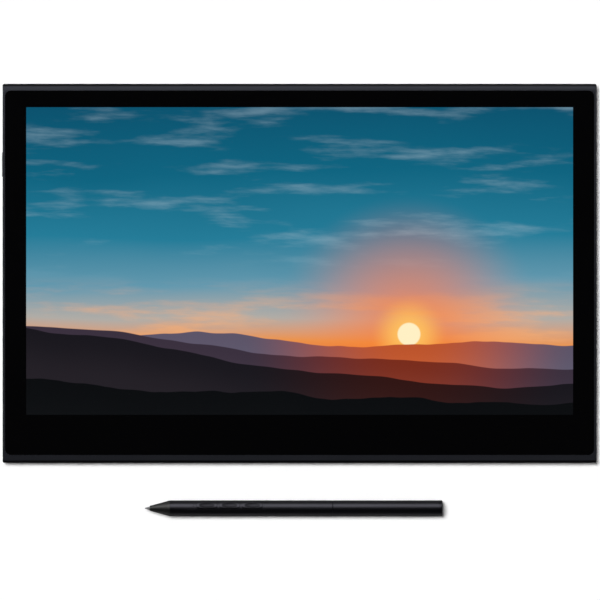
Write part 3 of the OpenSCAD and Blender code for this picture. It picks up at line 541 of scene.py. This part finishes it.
def copper_wire():
    """Fine turns of enamelled wire along X."""
    made = Finish("copper_wire")
    turns = made.bands(made.place(), WIRE_SCALE)
    made.set(
        base_color=made.mix(turns, (0.34, 0.10, 0.03, 1.0), (0.70, 0.30, 0.10, 1.0)),
        roughness=made.scaled(turns, 0.0, 1.0, 0.36, 0.24),
        metallic=1.0,
        normal=made.bump(turns, 0.03 * MM),
    )
    return made


def evening_sky(graph, u, v):
    """Bent bands of colour with thin clouds over them."""
    wide = graph.multiply(u, PICTURE_ASPECT)
    bend = graph.swing(graph.vector(wide, graph.multiply(v, SKY_BEND_FLATNESS)), **SKY_BEND_NOISE)
    height = graph.add(v, graph.multiply(bend, SKY_BEND))
    sky = graph.ramp(height, SKY_COLOURS)
    slanted = graph.add(wide, graph.multiply(v, CLOUD_SLANT))
    streaks = graph.noise(graph.vector(slanted, graph.multiply(v, CLOUD_FLATNESS)), **CLOUD_NOISE)
    for cloud in CLOUDS:
        shape = graph.smooth(streaks, *cloud["edge"])
        level = graph.smooth(v, *cloud["height"], 0.0, cloud["strength"])
        sky = graph.mix(graph.multiply(shape, level), sky, cloud["colour"])
    return sky


def sun_distance(graph, u, v):
    """Distance from the middle of the sun, for a picture of height 1."""
    across = graph.multiply(graph.add(u, -SUN_PLACE[0]), PICTURE_ASPECT)
    up = graph.add(v, -SUN_PLACE[1])
    return graph.math("SQRT", graph.add(graph.multiply(across, across), graph.multiply(up, up)))


def ridge(graph, u, base, left_rise, height, frequency, seed):
    """Height of a hill line at u: higher towards the left, with rounded tops."""
    away = graph.math("POWER", graph.math("SUBTRACT", 1.0, u), 2.0)
    tops = graph.swing(graph.vector(graph.multiply(u, frequency), seed), **HILL_NOISE)
    line = graph.add(base, graph.multiply(away, left_rise))
    return graph.add(line, graph.multiply(tops, height))


def hill(graph, behind, v, line, colour, mist):
    """Lays a hill over what is behind it, misty towards its foot."""
    depth = graph.math("SUBTRACT", line, v)
    tone = graph.mix(graph.smooth(depth, 0.0, MIST_DEPTH), colour, mist)
    return graph.mix(graph.smooth(depth, *HILL_EDGE), behind, tone)


def evening_hills(graph, u, v):
    """Generic landscape for the screen: evening sky, low sun at the right and misty hills."""
    scene = evening_sky(graph, u, v)
    from_sun = sun_distance(graph, u, v)
    for ring in SUN_RINGS:
        light = graph.smooth(from_sun, *ring["edge"], 0.0, ring["strength"])
        scene = graph.mix(light, scene, ring["colour"])
    near_sun = graph.smooth(from_sun, *SUN_ON_HILLS)
    for look in HILLS:
        line = ridge(graph, u, **look["line"])
        colour = graph.mix(near_sun, *look["top"])
        mist = graph.mix(near_sun, *look["mist"])
        scene = hill(graph, scene, v, line, colour, mist)
    return scene


def screen_glass():
    """Etched glass: printed black at the back, with the lit picture in its window."""
    made = Finish("screen_glass")
    low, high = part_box("display_panel")
    glass_low, glass_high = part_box("cover_glass")
    place = made.place()
    x, y, z = made.split(place)
    u = made.scaled(x, low.x + PANEL_SIDE, high.x - PANEL_SIDE, clamp=False)
    v = made.scaled(y, low.y + PANEL_BOTTOM, high.y - PANEL_TOP, clamp=False)
    # A place is in the window where it is at most half a width and half a height from the middle
    inside = made.multiply(made.math("COMPARE", u, 0.5, 0.5), made.math("COMPARE", v, 0.5, 0.5))
    front = made.math("GREATER_THAN", z, (glass_low.z + glass_high.z) / 2)
    lit = made.multiply(inside, front)
    etch = made.noise(place, ETCH_SCALE)
    made.set(
        base_color=made.mix(etch, (0.0009, 0.0009, 0.0011, 1.0), (0.0013, 0.0013, 0.0015, 1.0)),
        roughness=made.scaled(etch, *NOISE_SPAN, 0.20, 0.25),
        specular_ior_level=0.2,
        emission_color=made.mix(lit, BLACK, evening_hills(made, u, v)),
        emission_strength=1.0,
        normal=made.bump(etch, 0.0004 * MM),
    )
    return made


FINISHES = {
    build.__name__: build for build in (
        cover_plastic, frame_metal, plate_metal, screen_glass, panel_glass, tape, circuit_board,
        ribbon_film, chip_resin, bright_steel, contact_gold, foot_rubber, pen_plastic, nose_plastic,
        button_plastic, nib_plastic, ferrite, copper_wire,
    )
}

# Nodes whose finish isn't that of their slot
OWN_FINISH = {"nose_cone": "nose_plastic"}


def soften(obj, rounding):
    """Joins the flat facets of a CAD node and rounds its sharp edges."""
    weld = obj.modifiers.new("weld", "WELD")
    weld.merge_threshold = WELD_DISTANCE
    flatten = obj.modifiers.new("flatten", "DECIMATE")
    flatten.decimate_type = "DISSOLVE"
    flatten.angle_limit = FLAT_ANGLE
    edges = obj.modifiers.new("edges", "BEVEL")
    edges.width = rounding
    edges.segments = EDGE_SEGMENTS
    edges.limit_method = "ANGLE"
    edges.angle_limit = EDGE_ANGLE
    edges.harden_normals = True
    shade = obj.modifiers.new("shade", "WEIGHTED_NORMAL")
    shade.keep_sharp = True


def dress():
    """Gives every CAD node its finish and, where it shows, rounded edges; returns the finishes."""
    made = {name: build().material for name, build in FINISHES.items()}
    slots = {part["node"]: part["material_slot"] for part in frame["record"]["subparts"]}
    for name, obj in frame["nodes"].items():
        obj.data.materials.clear()
        obj.data.materials.append(made[OWN_FINISH.get(name, slots[name])])
        obj.data.polygons.foreach_set("material_index", [0] * len(obj.data.polygons))
        obj.data.polygons.foreach_set("use_smooth", [True] * len(obj.data.polygons))
        if name in EDGE_ROUNDING:
            soften(obj, EDGE_ROUNDING[name])
    return made


def placed(name, data, material):
    """Object of a mesh with its material, in the scene."""
    data.materials.append(material)
    obj = bpy.data.objects.new(name, data)
    bpy.context.scene.collection.objects.link(obj)
    return obj


def contact_places(side):
    """Middles of the contacts on both faces of a port's tongue."""
    low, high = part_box("port_tongue_" + side)
    middle = (low + high) / 2
    inset = CONTACT_FROM_TIP + CONTACT_LENGTH / 2
    x = high.x - inset if side == "right" else low.x + inset
    for face in (-1, 1):
        for i in range(CONTACT_COUNT):
            y = middle.y + (i - (CONTACT_COUNT - 1) / 2) * CONTACT_PITCH
            yield Vector((x, y, middle.z + face * TONGUE_THICKNESS / 2))


def port_contacts(side, material):
    """Gilded contacts of a port, each a flat bar with rounded edges."""
    mesh = bmesh.new()
    size = Matrix.Diagonal((CONTACT_LENGTH, CONTACT_WIDTH, CONTACT_HEIGHT, 1))
    for place in contact_places(side):
        bmesh.ops.create_cube(mesh, size=1, matrix=Matrix.Translation(place) @ size)
    bmesh.ops.bevel(
        mesh, geom=mesh.edges[:], offset=CONTACT_ROUNDING, segments=CONTACT_SEGMENTS, affect="EDGES",
    )
    data = bpy.data.meshes.new("port_contacts_" + side)
    mesh.to_mesh(data)
    mesh.free()
    obj = placed("port_contacts_" + side, data, material)
    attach(obj, "tablet")


def thread_cut(along, turn):
    """Depth of the thread's groove at a place from the joiner's rear end and a share of a turn."""
    lead = (along - THREAD_FROM_END) / THREAD_PITCH - turn
    wave = abs(lead - math.floor(lead) - 0.5) * 2
    ends = min(lead + turn, THREAD_TURNS - lead - turn) / THREAD_RUN_OUT
    return THREAD_DEPTH * (1 - wave) * min(max(ends, 0.0), 1.0)


def joiner_outline(start, end, outer, turn):
    """Closed outline of the joiner at a share of a turn, as pairs of place along the pen and radius."""
    inner = outer - JOINER_WALL
    thread = THREAD_FROM_END + THREAD_TURNS * THREAD_PITCH - JOINER_CHAMFER
    steps = round(thread / JOINER_STEP)
    outline = [(start, inner), (start, outer - JOINER_CHAMFER), (start + JOINER_CHAMFER, outer)]
    for i in range(steps + 1):
        x = end - JOINER_CHAMFER - thread * (1 - i / steps)
        outline.append((x, outer - thread_cut(end - x, turn)))
    outline.append((end, outer - JOINER_CHAMFER))
    outline.append((end, inner + JOINER_CHAMFER))
    outline.append((end - JOINER_CHAMFER, inner))
    return outline


def joiner_mesh():
    """Closed ring through the joiner's outlines round the pen's axis."""
    low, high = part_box("barrel_joiner")
    centre = (low + high) / 2
    points = []
    for step in range(TURN_STEPS):
        turn = step / TURN_STEPS
        up, side = math.cos(2 * math.pi * turn), math.sin(2 * math.pi * turn)
        for x, radius in joiner_outline(low.x, high.x, (high.y - low.y) / 2, turn):
            points.append((x, centre.y + radius * side, centre.z + radius * up))
    count = len(points) // TURN_STEPS
    faces = []
    for step in range(TURN_STEPS):
        here, there = step * count, (step + 1) % TURN_STEPS * count
        for i in range(count):
            j = (i + 1) % count
            faces.append((here + i, here + j, there + j, there + i))
    data = bpy.data.meshes.new("threaded_joiner")
    data.from_pydata(points, [], faces)
    data.polygons.foreach_set("use_smooth", [True] * len(faces))
    data.set_sharp_from_angle(angle=EDGE_ANGLE)
    return data


def threaded_joiner(material):
    """Ring with the thread that the rear barrel is screwed on."""
    obj = placed("threaded_joiner", joiner_mesh(), material)
    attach(obj, "pen")
    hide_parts("barrel_joiner")


def floor():
    """White sheet that keeps the shadows; its glow shows only where it is seen or mirrored."""
    made = Finish("floor")
    ray = made.node("ShaderNodeLightPath").outputs
    seen = made.add(made.add(ray["Is Camera Ray"], ray["Is Glossy Ray"]), ray["Is Transmission Ray"])
    made.set(
        base_color=FLOOR_COLOUR,
        roughness=FLOOR_ROUGHNESS,
        specular_ior_level=0.0,
        emission_color=WHITE,
        emission_strength=made.multiply(seen, FLOOR_GLOW),
    )
    half = FLOOR_SIZE / 2
    corners = [(-half, -half, 0), (half, -half, 0), (half, half, 0), (-half, half, 0)]
    data = bpy.data.meshes.new("floor")
    data.from_pydata(corners, [], [(0, 1, 2, 3)])
    obj = placed("floor", data, made.material)


def sky():
    """White at the horizon, dim above it and dark overhead, where the glass would mirror it."""
    world = bpy.data.worlds.new("studio")
    world.use_nodes = True
    bpy.context.scene.world = world
    graph = Graph(world.node_tree)
    height = graph.split(graph.node("ShaderNodeTexCoord").outputs["Generated"])[2]
    dim = graph.smooth(height, *SKY_DARK_CAP, 0.0, SKY_RADIANCE)
    level = graph.add(dim, graph.smooth(height, *SKY_HORIZON))
    graph.plug(world.node_tree.nodes["Background"].inputs["Color"], graph.vector(level, level, level))


def lamp(name, kind, place):
    """Lamp at a place, turned to the middle of the floor."""
    obj = bpy.data.objects.new(name, bpy.data.lights.new(name, kind))
    obj.location = place
    obj.rotation_euler = place.to_track_quat("Z", "Y").to_euler()
    obj.visible_camera = False
    bpy.context.scene.collection.objects.link(obj)
    return obj


def key_light():
    """Lights the floor and the colours, without a mirror image of its own in the glass."""
    across = math.sin(KEY_TILT)
    place = Vector((-across * math.sin(KEY_TURN), across * math.cos(KEY_TURN), math.cos(KEY_TILT)))
    key = lamp("key", "SUN", place)
    key.data.energy = KEY_STRENGTH
    key.data.angle = KEY_SOFTNESS
    key.visible_glossy = False


def softbox():
    """Flat lamp that gives the rim and the pen a soft highlight, flagged off from the glass."""
    panel = lamp("softbox", "AREA", SOFTBOX_PLACE)
    panel.data.shape = "RECTANGLE"
    panel.data.size, panel.data.size_y = SOFTBOX_SIZE
    panel.data.energy = SOFTBOX_RADIANCE * math.pi * SOFTBOX_SIZE[0] * SOFTBOX_SIZE[1]
    panel.visible_diffuse = False
    flagged = bpy.data.collections.new("flagged_off")
    flagged.objects.link(frame["nodes"]["cover_glass"])
    flagged.collection_objects[0].light_linking.link_state = "EXCLUDE"
    panel.light_linking.receiver_collection = flagged


def camera():
    """Looks straight down, with the lens that gives the width of the view."""
    data = bpy.data.cameras.new("camera")
    data.sensor_width = SENSOR_WIDTH
    glass_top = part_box("cover_glass")[1].z
    data.lens = SENSOR_WIDTH * (CAMERA_HEIGHT - glass_top) / VIEW_WIDTH
    data.clip_end = CAMERA_REACH
    obj = bpy.data.objects.new("camera", data)
    obj.location = (*VIEW_CENTRE, CAMERA_HEIGHT)
    bpy.context.scene.collection.objects.link(obj)
    bpy.context.scene.camera = obj


finishes = dress()
threaded_joiner(finishes["chip_resin"])
for port_side in ("left", "right"):
    port_contacts(port_side, finishes["contact_gold"])
floor()
sky()
key_light()
softbox()
camera()
bpy.context.scene.view_settings.view_transform = "Standard"
